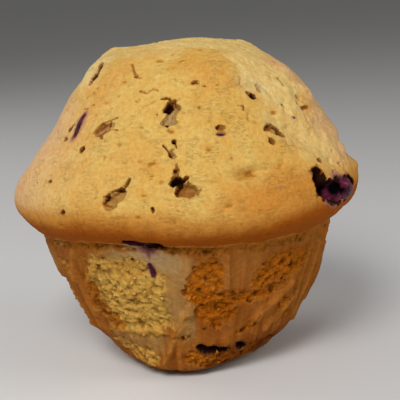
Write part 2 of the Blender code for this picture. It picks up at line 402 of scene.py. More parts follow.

# cracks: their points as (turn, height), then width, depth and how much painted shade lies in them
cracks = [
    ([(-8.2, 67.8), (-6.2, 68), (-4.5, 67.8)], 0.8, 1.2, 0.9),
    ([(-19, 69.5), (-16, 69.1), (-13, 69.9), (-10.5, 69.6)], 0.7, 0.35, 0.55),
    ([(-17, 66.2), (-13.5, 66.9), (-11, 67.5)], 0.35, 0.25, 0.45),
    ([(-20.5, 67.4), (-18.5, 67.8)], 0.45, 0.25, 0.5),
    ([(-32.5, 74.8), (-29, 74.1), (-27, 73.5), (-25, 72.7)], 0.9, 0.45, 0.6),
    ([(-20.5, 72.2), (-23.5, 72.2)], 0.4, 0.3, 0.6),
    ([(-37.5, 60.6), (-35.8, 61.9), (-33, 62.9), (-30, 63.6), (-27.6, 64)], 0.5, 0.6, 0.75),
    ([(-34.5, 61.4), (-32.5, 62.3), (-30.6, 62.5)], 0.5, 0.8, 0.85),
    ([(-30, 63.2), (-30.2, 61.8)], 0.7, 0.8, 0.85),
    ([(-34.5, 60.2), (-31.5, 61), (-28.6, 61.5), (-26, 61.4)], 0.5, 0.5, 0.75),
    ([(-53.5, 61), (-52.4, 61.4), (-51, 62.3)], 1, 1.4, 0.95), ([(-49, 65.6), (-46, 65.7)], 0.5, 0.3, 0.6),
    ([(-43.8, 66.5), (-42.6, 66.6)], 0.6, 0.3, 0.6),
    ([(-7.2, 58), (-5.5, 57), (-4.6, 55.9)], 0.7, 1.2, 0.95), ([(-2.3, 57.4), (-3, 58.8)], 0.6, 1.2, 0.85),
    ([(-2.6, 54.2), (-2.5, 52.4), (-2, 51.6)], 0.7, 0.7, 0.55), ([(3.6, 47.6), (4.8, 48.7)], 0.5, 0.4, 0.6),
    ([(-25.8, 45.2), (-24.9, 47), (-22.7, 48.5), (-20, 49)], 0.75, 2.2, 0.95),
    ([(-20, 49), (-18.8, 50.2), (-18.2, 51.3)], 0.8, 1.6, 0.7),
    ([(-25.6, 44.9), (-24, 44.6)], 0.7, 1.2, 0.7), ([(-22.6, 54.9), (-20.5, 54.7)], 0.35, 0.2, 0.45),
    ([(35, 59.8), (38.2, 60.2), (41, 58.9), (42.1, 57.2)], 0.5, 1.6, 0.9),
    ([(41.9, 57.2), (40.2, 55.1), (44.2, 54.8)], 0.35, 0.4, 0.65),
    ([(34.5, 70.9), (31.5, 69.5), (33, 68.6)], 0.5, 0.35, 0.5), ([(59.8, 69.2), (57, 67.2)], 0.8, 0.8, 0.8),
    ([(25.4, 64.9), (28.2, 64.8), (27.2, 63.8)], 0.5, 0.6, 0.85),
    ([(28.8, 63.2), (27.4, 61.8), (29.5, 61.4)], 0.3, 0.3, 0.5),
    ([(18, 74.3), (24, 74.6), (30.5, 74.1)], 0.4, 0.3, 0.45),
    ([(-27.5, 76.4), (-22, 76.5)], 0.4, 0.25, 0.45), ([(-73, 76.3), (-68, 76.9)], 0.6, 0.4, 0.55),
    ([(61.5, 62), (67, 61.6)], 0.9, 0.8, 0.75), ([(62.4, 61), (59.5, 58.4)], 0.6, 0.5, 0.5),
    ([(-72, 40), (-60, 39)], 0.4, 0.2, 0.4),
    ([(-54.3, 70.8), (-54.9, 71.9), (-56, 73), (-57.8, 73.9), (-59.8, 74.5)], 0.7, 2.4, 1.2),
    ([(-54.8, 71.6), (-55.8, 72.6)], 0.95, 2.4, 1.2), ([(-120, 60), (-128, 62), (-131, 60)], 0.8, 0.9, 0.8),
    ([(110, 70), (118, 71.5), (124, 70.5)], 0.7, 0.6, 0.6),
    ([(150, 58), (153, 61), (160, 62)], 0.8, 1, 0.8), ([(-165, 70), (-172, 68)], 0.6, 0.6, 0.7),
]

# single round pits: turn, height, width, depth
pits = [
    (-24.8, 72.4, 1.3, 1.5), (-41, 57, 1.5, 1.6), (-50, 49.8, 1.4, 1.5), (-58, 48.9, 1, 0.9),
    (-40.5, 42.8, 1.9, 2), (19, 62.1, 1.1, 1.1), (-10, 44.1, 1.4, 1.4), (51.5, 50.9, 2, 1.8),
    (50, 63.8, 1.2, 1.1), (-23, 30.3, 1.5, 1.9), (-54, 59.1, 1.4, 1), (-47, 70.2, 1.1, 0.9),
    (8.5, 65.6, 0.9, 0.7), (63.5, 64.4, 1.1, 1), (59.5, 63, 1.1, 1), (30.5, 28.1, 1.5, 1.5),
    (43.5, 26.5, 1.3, 1.4), (46.5, 26, 1.8, 1.8), (-50, 64.7, 1, 0.8), (-33, 59.9, 1, 0.8),
    (-30, 59.6, 1.1, 0.6), (74, 49, 1.4, 0.9), (75, 72, 1.3, 0.8), (-19.5, 67.4, 0.9, 0.5),
    (-6.5, 11.5, 1.1, 0.9), (52, 12, 1.4, 1), (57, 47.6, 1.2, 0.8), (64, 48.4, 1.4, 0.8),
    (-100, 55, 1.8, 1.5), (-118, 66, 2, 1.7), (-140, 45, 1.6, 1.4), (105, 62, 1.9, 1.6),
    (118, 49, 1.7, 1.5), (140, 70, 1.6, 1.3), (165, 55, 2, 1.8), (-160, 64, 1.8, 1.5), (-172, 71, 1.5, 1.2),
    (150, 44, 1.5, 1.4), (-125, 50, 1.4, 1.1), (95, 70, 1.4, 1.2), (176, 63, 1.2, 0.9), (-148, 58, 1.3, 1),
    (128, 57, 1.4, 1),
]

# spots where the crust browned in a shallow dent: turn, height, width
brownedSpots = [
    (-13, 75.7, 2.2), (-6.5, 74.1, 1.9), (-16, 62, 1.2), (-11, 54.6, 1.7), (-13, 47.4, 1.7),
    (-15.5, 54.9, 0.9), (-11, 51.9, 0.9), (-7, 50.4, 1), (12.8, 44.5, 1.7), (-21, 41.7, 1.8),
    # the spot at 21.5, 51.2 is also painted shade in the deep dent there
    (-14.5, 42, 1), (33, 51.6, 1.7), (21.5, 51.2, 3.5), (9.5, 56.8, 2), (65, 63.4, 3.6), (66, 60.6, 2),
    (-30, 71.5, 1.6), (-36, 67, 1.2), (4, 75.4, 1.6), (20, 70, 1.2), (-4, 60.8, 1.1), (43, 62.5, 1.6),
    (48, 57, 1.4), (-46, 68.6, 1.6), (-38.5, 64.2, 0.9), (5, 53.6, 0.9),
]


def ovalReach(points, turn, height, length, width, slant):
    # 0 in the middle of an oval, 1 at its edge
    u, v, w = localTo(points, turn, height, slant)
    return np.sqrt((2 * u / length) ** 2 + (2 * v / width) ** 2 + (w / (length + 4)) ** 2)


def ovalInside(points, oval):
    # how far inside the edge of an oval each point lies, about in millimetres
    return (1 - ovalReach(points, *oval)) * min(oval[2:4]) / 2


def nearTo(points, turn, height, reach):
    # the points in a cube round a place
    return np.nonzero((np.abs(points - form.frame(turn, height)[0]) < reach).all(-1))


def crackGap(points, turns):
    # how far each point is from a line through these places
    places = [form.frame(*place)[0] for place in turns]
    gap = np.full(points.shape[:-1], 99.0)
    for start, end in zip(places, places[1:]):
        span = end - start
        away = points - start
        t = np.clip(away @ span / (span @ span), 0, 1)
        gap = np.minimum(gap, np.linalg.norm(away - t[..., None] * span, axis=-1))
    return gap


def rimOf(room, fade, start=0.5):
    # 0 outside the edge of a hollow, 1 once this far inside
    return np.clip(start + room / fade, 0, 1)


def hollowFields(points, ragged):
    # depth in millimetres, how far inside a hollow, how much painted shade and how grey it is in there, and
    # browned spots
    depth, shade, grey, spot = (np.zeros(points.shape[:-1]) for _ in range(4))
    inside = np.full(points.shape[:-1], -1.5)

    def around(turn, height, reach):
        here = nearTo(points, turn, height, reach)
        return here, points[here], ragged[here]

    def keepMost(field, here, value):
        field[here] = np.maximum(field[here], value)

    for name, ovals in hollows.items():
        here, near, rag = around(*np.mean([oval[:2] for oval in ovals], axis=0), 14)
        merged = np.zeros(len(near))
        for *outline, deep, paintedShade in ovals:
            room = ovalInside(near, outline) + 0.50 * min(outline[3], 1.8) * rag
            merged += (deep * softStep(0, min(0.55, 0.42 * outline[3]), room)) ** 6
            within = rimOf(room, 0.5, 0.5 if deep < 4 else 1.1)
            if paintedShade < 0.7:
                # painted shade under the rim that hangs over it
                across = localTo(near, *outline[:2], 40)[1]
                paintedShade = paintedShade + 0.45 * softStep(0.2, 1.1, 2 * across / min(outline[2:4]) + 0.4 * rag)
            keepMost(inside, here, room)
            keepMost(shade, here, paintedShade * within)
            keepMost(grey, here, within * (name in greyFloors))
        keepMost(depth, here, merged ** (1 / 6))
    for line, width, deep, paintedShade in cracks:
        here, near, rag = around(*line[len(line) // 2], 9)
        room = width / 2 - crackGap(near, line) + 0.38 * min(width, 1) * rag
        keepMost(depth, here, deep * softStep(-0.05, max(width * 0.45, 0.25), room))
        keepMost(shade, here, 0.86 * paintedShade * rimOf(room, 0.35))
    for turn, height, width, deep in pits:
        here, near, rag = around(turn, height, 2.5)
        room = ovalInside(near, (turn, height, width, width * 0.8, turn * 7)) + 0.45 * min(width, 1.5) * rag
        keepMost(depth, here, deep * softStep(0, 0.42 * width, room))
        # painted shade in the pit, darker the deeper it goes
        keepMost(shade, here, min(deep / 1.6, 0.76) * rimOf(room, 0.4))
    for turn, height, width in brownedSpots:
        here, near, rag = around(turn, height, 6)
        reach = ovalReach(near, turn, height, width * 1.9, width * 0.9, 3) + 0.7 * rag
        keepMost(spot, here, 1 - softStep(-0.2, 1.3, reach))
    return depth, inside, shade, grey, spot


# torn crumb on the cup: turn, height, half its spread in turn and in height, lean (degrees of turn for
# each millimetre up), and how toasted it is
tornPatches = [
    (-29, 21, 19, 9.6, 0.1, 0.08), (-30, 28, 12, 2, 0, 0.35), (-50, 22.5, 3.6, 4.4, 0.3, 0.75),
    (-44, 15.5, 5, 4, -1, 0.6), (-36, 6.8, 17, 2.3, -1, 0.4), (5.5, 26.6, 6.9, 4.6, 0, 0.8),
    (9.5, 19.2, 9.8, 3.8, -0.6, 0.85), (41, 26.6, 13, 3.8, 0.6, 0.85), (30, 20.6, 11.5, 1.7, 3.2, 0.85),
    (26, 12.6, 5, 1.2, 2, 0.9), (11, 14.6, 3, 0.9, 1, 0.9), (14, 5.4, 19, 1.5, 0.5, 0.75),
    (36, 5.2, 14, 2.2, 0.5, 0.75), (46, 16, 3.4, 1.3, 1.5, 0.8), (52, 13, 3, 1, 1.5, 0.8),
    (78, 12, 4, 6, 0.6, 0.6), (70, 30.6, 7, 2.6, 0, 0.8), (-8, 12, 3.5, 1.4, 1.5, 0.5),
    (-62, 27, 4, 1.6, -1, 0.5),
]

# softer areas in the same terms: turn, height, both half spreads, lean, softness of the edge, strength
softAreas = {
    "pale": [
        (52, 69, 15, 7.5, -0.6, 0.3, 1.0), (50, 56.5, 10, 6.5, -1.5, 0.3, 0.65),
        (-40, 77.4, 40, 1.6, 0, 0.3, 0.5),
    ],
    "ash": [(39, 68.5, 9, 2.6, -0.6, 0.3, 0.6)],
    # browner low on the right of the cap: partly browning, partly painted shade
    "brown": [(33, 44.5, 22, 5.5, 0, 0.7, 0.55)],
    "blush": [
        (-42, 72, 9, 3.6, 2, 0.7, 0.55), (22, 71.5, 8, 3, 0, 0.6, 0.4), (65, 64.0, 5, 3.6, -1.2, 0.6, 0.85),
    ],
    "floury": [  # round the berry slit, and the smooth strip right of the torn crumb
        (-19, 30.5, 17, 3.4, 0, 0.3, 0.9), (-6, 22, 6.5, 11, -0.15, 0.3, 0.75),
        (-30, 10.4, 16, 2.4, -0.6, 0.3, 0.6), (20, 28, 9, 4.6, 0, 0.3, 0.1),
    ],
    "whitish": [(-16, 31.4, 9.5, 2.6, 0, 0.85, 0.6)],
    # painted shade at the lower right of the foot, where the light falls short, and the cup darkened the
    # same way in two more patches
    "paintedShadePatches": [
        (36, 5.0, 30, 3.6, 0.8, 0.6, 1.0), (-46, 20, 4, 7, 0.4, 0.6, 0.6),
        (12, 17.5, 12, 4, -0.6, 0.6, 0.35),
    ],
}

# juice in the crumb: turn, height, length, width, slant, strength
purpleStains = [
    (-47, 62.6, 8.8, 2.9, 79, 0.95), (-45.5, 62.8, 8, 4.8, 79, 0.4), (-48.4, 59.4, 3.4, 2.4, 70, 0.62),
    (15, 59.5, 2.4, 1.1, 0, 1), (52, 60.4, 2, 1, -15, 0.9), (31, 47.4, 1.8, 1.1, 10, 0.45),
    (-86, 46.8, 1.4, 1, 0, 0.9), (-16.5, 34.6, 12, 2.6, 0, 1), (-15.5, 31.6, 1.4, 2.4, 0, 0.7),
    (-15.4, 28.3, 2.5, 4.4, 8, 1), (-15.5, 33, 6, 2.6, 0, 0.7), (51, 41.3, 8.5, 2.6, -30, 0.85),
    (60, 40.4, 13, 1.8, -3, 0.6), (57, 46.6, 13, 2.6, -14, 0.42), (59, 43.8, 17.5, 8, -8, 0.9),
    (46, 48, 5, 4.2, -70, 0.42), (120, 58, 9, 3, 30, 0.8), (-165, 47, 6, 2.4, 0, 0.7),
    (158, 66, 5, 2, 60, 0.7),
]

# where juice baked almost black, and painted shade near black inside the holes at the foot, under the lip
# and in the rim hole, in the same terms
blackJuiceAndShadeOvals = [
    (-47.6, 61.6, 3, 1.4, 65, 1), (8, 7.7, 8, 2.6, -6, 1), (3, 8.3, 3.4, 2, 0, 1),
    (15, 6.8, 3.6, 1.8, 0, 1), (25, 7.5, 4, 2.6, -40, 1), (-17, 35.2, 10.5, 1.9, 0, 1),
    (-14.5, 34.3, 6, 1.6, -6, 1), (47.5, 46, 7.4, 4.4, -78, 1), (55, 43.6, 12, 5.4, -6, 1),
]


def bump(value, middle, spread):
    return np.exp(-(((value - middle) / spread) ** 2))


def patch(turns, heights, middle, height, halfTurn, halfHeight, lean=0.0, edge=0.3):
    # 1 inside a soft-edged patch of the cup or the cap, 0 outside
    across = turnFrom(turns, middle) - lean * (heights - height)
    reach = ((np.abs(across) / halfTurn) ** 3 + (np.abs(heights - height) / halfHeight) ** 3) ** (1 / 3)
    return 1 - softStep(1 - edge, 1 + edge, reach)


def soaked(points, ovals, wander, full, clear):
    # how far the juice of these ovals colours each point
    return np.maximum.reduce([
        strength * (1 - softStep(full, clear, ovalReach(points, *oval) + wander))
        for *oval, strength in ovals])


class SurfaceMasks:
    # how strongly each look shows at each point, from 0 to 1, and the grooves from -1 to 1

    def __init__(self, points, turns):
        self.points, self.turns, self.heights = points, turns, points[..., 2]
        self.broad, self.middling = cloud(points, 9, 1, 3), cloud(points, 3.4, 2, 3)
        self.fine = cloud(points, 1.3, 3, 2)
        self.wanderTurn = turns + 3.2 * self.middling + 1.3 * self.fine
        self.wanderHeight = self.heights + 1.3 * cloud(points, 4, 4, 3) + 0.5 * self.fine
        self.crust = softStep(34.0, 34.9, self.heights + 0.5 * self.middling + 0.25 * self.fine)
        self.neck = bump(self.heights, 33.1, 1.5)
        self.away, behind = softStep(62, 80, np.abs(turns)), softStep(110, 170, np.abs(turns))
        self.right = softStep(5, 60, turns) * (1 - behind)
        self.left = softStep(-20, -75, turns) * (1 - behind)

    def area(self, name):
        # the strongest of the soft areas of this name
        return np.maximum.reduce([
            strength * patch(self.wanderTurn, self.wanderHeight, *shape)
            for *shape, strength in softAreas[name]])

    def masks(self):
        cup = 1 - self.crust
        grain = np.stack([self.turns * 0.75, self.heights * 0.16, 0 * self.turns], -1)
        juice = 0.15 * self.fine
        return {
            "crust": self.crust, "neckBandAndShade": self.neck * cup, "groove": cloud(grain, 1.6, 21, 3) * cup,
            "paintedShadePatches": self.area("paintedShadePatches") * cup, "whitish": self.area("whitish") * cup,
            "floury": self.flouryCase() * cup, **self.tornCrumb(), **self.browning(), **self.splitCrown(),
            "stain": soaked(self.points, purpleStains, 0.25 * self.middling + juice, 0.35, 1.15),
            "blackJuiceAndShade": soaked(self.points, blackJuiceAndShadeOvals, 0.3 * self.middling + juice, 0.55, 1.1),
        }

    def tornCrumb(self):
        heights, away, middling = self.heights, self.away, self.middling
        torn, toast = np.zeros_like(heights), np.full_like(heights, 0.45)
        for *shape, brown in tornPatches:
            here = patch(self.wanderTurn, self.wanderHeight, *shape, 0.42)
            toast = toast + (brown - toast) * np.clip(here * 1.5, 0, 1)
            torn = np.maximum(torn, here)
        # the back goes on in the same way, in patches of no set shape
        blotch = cloud(self.points * (1, 1, 1.25), 13, 5, 3)
        torn = np.maximum(torn, away * softStep(0.05, 0.28, blotch) * (1 - softStep(29, 33, heights)))
        toast = toast + away * (0.35 * cloud(self.points, 16, 6, 2) + 0.1)
        torn = np.maximum(torn, self.neck * (0.62 + 0.5 * middling))
        toast = toast + self.neck * (0.75 - toast)
        torn = np.maximum(torn, (1 - softStep(1.2, 3.2, heights)) * (0.55 + 0.5 * middling))
        return {"torn": torn * (1 - self.crust), "toast": np.clip(toast, 0, 1)}

    def flouryCase(self):
        behind = self.away * softStep(0.1, 0.5, cloud(self.points, 15, 8, 2))
        return np.maximum(self.area("floury"), 0.4 * behind)

    def splitCrown(self):
        # pale cream where the crown split in the oven, and ash beside it
        x, y, broad, middling = self.points[..., 0], self.points[..., 1], self.broad, self.middling
        split = -12.5 + 7.5 * softStep(2, -14, x) + 1.5 * softStep(-14, -22, x) - 1.5 * softStep(14, 26, x)
        reach = np.hypot(x * 0.9, y) + 5 * broad + 2 * middling
        pale = softStep(0, 2.2, y - (split + 2.2 * broad + 1.1 * middling)) * (1 - softStep(17, 24, reach))
        pale = np.maximum(pale * softStep(66, 70, self.heights), self.area("pale"))
        ash = patch(self.wanderTurn, self.heights + 0.6 * middling, -70, 72.8, 15, 3.4, -0.5, 0.4)
        return {"pale": pale * self.crust, "ash": np.maximum(ash, self.area("ash")) * self.crust}

    def browning(self):
        # browner on the lip, partly real browning and partly painted shade where it faces down, most on the
        # right; painted rim light, paler and rosier, at both sides
        turns, heights, broad = self.turns, self.heights, self.broad
        under = heights - 0.7 * lipRise(self.points, turns)
        lowCap = 1 - softStep(34.5, 46.0 + 4 * self.right, under + 0.8 * broad)
        brown = lowCap + 0.36 * self.right * (1 - softStep(38, 52, heights))
        brown = np.maximum(brown + 0.12 * self.left * (1 - softStep(38, 46, heights)), self.area("brown"))
        brown = np.clip(brown + 0.07 * broad + 0.04 * self.middling, 0, 1)
        blush = self.area("blush") + 0.22 * softStep(0.15, 0.9, cloud(self.points, 7, 7, 2))
        # painted rim light: paler and rosier along both sides of the cap
        paintedRimLight = bump(turnFrom(turns, -78), 0, 28) * softStep(36, 44, heights)
        paintedRimLight = paintedRimLight * (1 - softStep(62, 74, heights + 2 * broad))
        paintedRimLight = np.maximum(paintedRimLight, 0.8 * bump(turnFrom(turns, 80), 0, 22) * softStep(45, 50, heights))
        return {"lowCap": lowCap * self.crust, "brown": brown * self.crust,
                "blush": np.clip(blush, 0, 1), "paintedRimLight": paintedRimLight * self.crust}


# folds that the paper case left in the cup: turn and height at both ends, half width, and how far out
caseFolds = [
    (-50, 32, -57, 25, 1, 0.7), (-57, 25, -57, 12, 0.9, 0.4), (-34, 33, -47, 25, 1, 0.6),
    (-47, 26, -53, 16, 0.9, 0.6), (-4.5, 17.5, -13, 8.7, 0.9, 0.8), (-13, 8.7, -19, 4.5, 0.9, 0.7),
    (-1.5, 31, -1.5, 18, 0.9, 0.5), (-3.5, 15, -8, 7, 0.9, 0.4), (14.5, 31, 15.5, 22, 0.6, 0.3),
    (30, 14, 50, 21.5, 0.8, 0.55), (38, 10.5, 54, 17.5, 0.8, 0.5), (56, 30, 55, 14, 0.8, 0.5),
    (63, 32, 61, 12, 0.7, 0.6), (69, 32, 67, 10, 0.7, 0.5), (75, 31, 73, 10, 0.7, 0.5),
    (-46, 12.6, -14, 13.2, 0.7, 0.6), (-66, 30, -68, 12, 0.9, 0.35), (-76, 31, -77, 10, 0.9, 0.4),
]

# how far everything that makes the skin uneven stands out or in
unevenness = {  # millimetres
    "capSwell": 0.42, "capLump": 0.16, "roughLump": 0.40, "roughPit": 0.35, "cupSwell": 0.30,
    "cupLump": 0.12, "groove": 0.12, "fold": 1.7, "tornDrop": 0.55, "flake": 1.0, "neckDrop": 0.25,
    "spotDent": 0.35, "hollowFloor": 0.22,
}


def foldLift(points, turns, heights, wander):
    # how far each point stands out on the folds
    total = np.zeros_like(heights)
    radius = np.hypot(points[..., 0], points[..., 1])
    for turnA, heightA, turnB, heightB, half, lift in caseFolds:
        ax, az = np.radians(turnFrom(turns, turnA)) * radius, heights - heightA
        across = np.interp((heightA + heightB) / 2, form.curve[:, 1], form.curve[:, 0])
        bx, bz = np.radians(turnB - turnA) * across, heightB - heightA
        t = np.clip((ax * bx + az * bz) / (bx * bx + bz * bz), 0, 1)
        gap = np.hypot(ax - t * bx, az - t * bz) + 0.5 * wander
        total += lift * np.exp(-((gap / half) ** 2)) * (np.abs(turnFrom(turns, turnA)) < 90)
    # round the back the pleats come at a steady spacing
    pleats = np.cos(np.radians(turns) * 30 + 1.8 * wander) ** 4
    return total + 0.4 * pleats * softStep(72, 84, np.abs(turns)) * softStep(5, 10, heights)


def bakedSkin():
    points, outward, turns, way = form.grid()
    heights = points[..., 2].copy()
    looks = SurfaceMasks(points, turns)
    masks, size, broad, middling = looks.masks(), unevenness, looks.broad, looks.middling
    lift = np.clip(heights / 4, 0, 1)
    out = swelling(points) * lift
    cap, cup = masks["crust"], 1 - masks["crust"]
    out += cap * (size["capSwell"] * cloud(points, 11, 11, 2) + size["capLump"] * cloud(points, 4.5, 12, 2))
    # the right of the crust broke open and is rougher
    rough = np.maximum(masks["pale"] * 0.8, patch(turns, heights, 60, 58, 18, 17, -0.4))
    dents = softStep(0.35, 0.8, cloud(points, 2.2, 14, 2))
    out += cap * rough * (size["roughLump"] * cloud(points, 3.6, 13, 3) - size["roughPit"] * dents)
    lumps = size["cupSwell"] * cloud(points, 8, 15, 2) + size["cupLump"] * cloud(points, 2.4, 16, 2)
    out += cup * lift * lumps
    out += size["groove"] * masks["groove"] * lift * (1 - masks["torn"])
    folds = cup * foldLift(points, turns, heights, middling)
    folds = folds * softStep(2.5, 6, heights) * (1 - softStep(31.5, 33.5, heights))
    # the crests of the folds, which the material lights with a painted highlight
    masks["fold"] = np.clip(1.6 * folds, 0, 1) * (np.abs(turns) < 80)
    out += size["fold"] * folds
    # crumb lies a little lower than the skin it was torn from
    out -= size["tornDrop"] * softStep(0.25, 0.75, masks["torn"]) * lift
    flakes = softStep(0.2, 0.65, cloud(points * (1, 1, 2.2), 2.2, 19, 3))
    flakes = flakes * softStep(-0.3, 0.5, cloud(points, 8, 20, 2))
    flakes *= bump(heights + 1.3 * middling + 0.6 * broad, 33.0, 0.8) * cup
    masks["flake"] = flakes
    out += size["flake"] * flakes - size["neckDrop"] * bump(heights, 33.6, 0.8) * cup
    depth, inside, masks["shade"], masks["greyFloor"], masks["spot"] = hollowFields(
        points, cloud(points, 1.7, 17, 4))
    out -= size["spotDent"] * masks["spot"]
    floorLumps = size["hollowFloor"] * cloud(points, 1.2, 18, 2) * softStep(0.4, 1.2, depth)
    skin = points + outward * (out - depth + floorLumps)[..., None]
    skin[..., 2] += lipRise(points, turns)
    skin[..., 2] = np.maximum(skin[..., 2], 0)
    masks.update(inside=np.clip(inside, -1, 1.5), hollow=np.clip(depth / 0.8, 0, 1), rough=rough * cap)
    return skin, turns, way, masks


def cornerMap(*places):
    # the map places of each face's corners, face after face
    pairs = [np.stack(np.broadcast_arrays(u, v), -1) for u, v in places]
    return np.stack(pairs, -2).reshape(-1, 2)


def setValues(mesh, values):
    for key, value in values.items():
        stored = mesh.attributes.new(key, "FLOAT", "POINT")
        stored.data.foreach_set("value", value.astype(np.float32))


def ringMesh(name, skin, turns, way, values):
    # rings of points as a closed mesh, fans at both ends, and a way-round, way-up map on each corner
    rings, columns = skin.shape[:2]
    inner = slice(1, rings - 1)
    points = np.concatenate([skin[0, :1], skin[inner].reshape(-1, 3), skin[-1, :1]]) * mm
    top = len(points) - 1
    here = np.arange(columns)
    after = (here + 1) % columns
    low = 1 + np.arange(rings - 3)[:, None] * columns
    high = low + columns
    quads = np.stack([low + here, low + after, high + after, high + here], -1).reshape(-1, 4)
    foot = np.stack([0 * here, 1 + after, 1 + here], -1)
    crown = np.stack([0 * here + top, top - columns + here, top - columns + after], -1)
    edges = np.append(turns[0], 180.0) / 360 + 0.5
    start, end, middle = edges[:-1], edges[1:], (edges[:-1] + edges[1:]) / 2
    up = way[:, 0]
    below, above = up[1:-2, None], up[2:-1, None]
    places = np.concatenate([
        cornerMap((start, below), (end, below), (end, above), (start, above)),
        cornerMap((middle, 0.0), (end, up[1]), (start, up[1])),
        cornerMap((middle, 1.0), (start, up[-2]), (end, up[-2])),
    ])
    corners = np.concatenate([quads.ravel(), foot.ravel(), crown.ravel()])
    sizes = np.concatenate([np.full(len(quads), 4), np.full(2 * columns, 3)])
    starts = np.concatenate([[0], np.cumsum(sizes)[:-1]])
    mesh = bpy.data.meshes.new(name)
    mesh.vertices.add(len(points))
    mesh.vertices.foreach_set("co", points.astype(np.float32).ravel())
    mesh.loops.add(len(corners))
    mesh.loops.foreach_set("vertex_index", corners.astype(np.int32))
    mesh.polygons.add(len(sizes))
    mesh.polygons.foreach_set("loop_start", starts.astype(np.int32))
    mesh.uv_layers.new(name="OFBake")
    mesh.uv_layers["OFBake"].uv.foreach_set("vector", places.astype(np.float32).ravel())
    mesh.update(calc_edges=True)
    setValues(mesh, {key: np.concatenate([value[0, :1], value[inner].ravel(), value[-1, :1]])
                     for key, value in values.items()})
    mesh.shade_smooth()
    mesh.validate()
    return mesh


crumbRelief = {  # sizes in metres
    "Crumb Size": 0.0018, "Crumb Depth": 0.00056, "Pore Spacing": 0.0028, "Pore Width": 0.00036,
    "Pore Depth": 0.00035, "Wrinkle Size": 0.0011, "Wrinkle Depth": 0.00012, "Seed": 7.0,
}


def startTree(name, sizes):
    # a Geometry Nodes tree with an input for each of these sizes
    tree = bpy.data.node_groups.new(name, "GeometryNodeTree")
    tree.interface.new_socket(name="Geometry", in_out="INPUT", socket_type="NodeSocketGeometry")
    for key, value in sizes.items():
        socket = tree.interface.new_socket(name=key, in_out="INPUT", socket_type="NodeSocketFloat")
        socket.default_value = value
    tree.interface.new_socket(name="Material", in_out="INPUT", socket_type="NodeSocketMaterial")
    tree.interface.new_socket(name="Geometry", in_out="OUTPUT", socket_type="NodeSocketGeometry")
    return NodePen(tree), tree.nodes.new("NodeGroupInput").outputs


def endTree(pen, geometry, material):
    real = pen.made("GeometryNodeRealizeInstances", {0: geometry})
    painted = pen.made("GeometryNodeSetMaterial", {"Geometry": real, "Material": material})
    pen.put("NodeGroupOutput", {0: painted})
    return pen.tree


def reliefTree():
    # crumb, pores and wrinkles that follow the skin
    pen, given = startTree("crumbRelief", crumbRelief)
    place = pen.made("GeometryNodeInputPosition")
    drift = pen.made("ShaderNodeCombineXYZ", {axis: given["Seed"] for axis in range(3)})

    def pattern(size, stretch=(1, 1, 1), warp=0.0):
        # position in units of this size, squashed, shifted by the seed and pushed about
        squashed = pen.vector("MULTIPLY", place, stretch)
        where = pen.vector("ADD", pen.scaled(squashed, pen.maths("DIVIDE", 1.0, size)), drift)
        return pen.vector("ADD", where, pen.push(where, 0.9, 2.0, warp)) if warp else where

    # torn crumb: ragged ledges, grains on them, and crevices between
    size = given["Crumb Size"]
    torn = pen.plus(pen.stored("torn"), pen.centred(pen.noise(place, 0.0014, 3.0), 1.0))
    torn = pen.step(torn, 0.34, 0.62)
    ledges = pen.noise(pattern(size, (0.9, 0.9, 1.25), 0.6), 1.0, 5.0, 0.70, 0.2)
    big = pen.cells(pattern(size, (1, 1, 1.2), 1.0), 1.0, "SMOOTH_F1", Smoothness=0.5)
    small = pen.cells(pattern(pen.times(size, 0.42), (1, 1, 1.2), 1.4))
    relief = pen.plus(pen.centred(ledges, 4.6), pen.times(pen.less(0.5, big.outputs["Distance"]), 0.9),
                      pen.times(pen.less(0.5, small.outputs["Distance"]), 0.45))
    crumb = pen.times(relief, given["Crumb Depth"], torn)

    # pores: one small pit in some of the cells, more of them where the crust is rough
    rough = pen.stored("rough")
    pore = pen.cells(pattern(given["Pore Spacing"], (1, 1, 1.15), 0.5))
    chance = pen.put("ShaderNodeSeparateXYZ", {0: pore.outputs["Color"]}).outputs
    kept = pen.maths("GREATER_THAN", pen.plus(chance[0], pen.times(rough, 0.3)), 0.80)
    width = pen.times(pen.maths("DIVIDE", given["Pore Width"], given["Pore Spacing"]),
                      pen.line(chance[1], 1.3, 0.5))
    pit = pen.step(pen.maths("DIVIDE", pore.outputs["Distance"], width), 0.35, 1.15, 1.0, 0.0)
    skinOnly = pen.less(1.0, pen.maths("MAXIMUM", torn, pen.stored("hollow")))
    pit = pen.times(pit, kept, skinOnly)

    # fine level wrinkles all over the skin
    wrinkle = pen.noise(pattern(given["Wrinkle Size"], (0.7, 0.7, 1.6)), 1.0, 3.0, 0.6)
    wrinkle = pen.times(pen.line(wrinkle, 2.0, -1.0), given["Wrinkle Depth"],
                        pen.plus(pen.line(rough, 1.6, 0.6), pen.stored("lowCap")))

    rise = pen.less(pen.plus(crumb, wrinkle), pen.times(pit, given["Pore Depth"]))
    height = pen.put("ShaderNodeSeparateXYZ", {0: place}).outputs[2]
    rise = pen.times(rise, pen.step(height, 0.0004, 0.0025))  # the foot stays flat
    offset = pen.scaled(pen.made("GeometryNodeInputNormal"), rise)
    # the values that the material reads are stored before the points move
    shape = given["Geometry"]
    for name, value in (("relief", relief), ("tornEdge", torn), ("pore", pit)):
        inputs, kind = {"Geometry": shape, "Name": name, "Value": value}, "GeometryNodeStoreNamedAttribute"
        shape = pen.made(kind, inputs, data_type="FLOAT", domain="POINT")
    moved = pen.made("GeometryNodeSetPosition", {"Geometry": shape, "Offset": offset})
    return endTree(pen, moved, given["Material"])


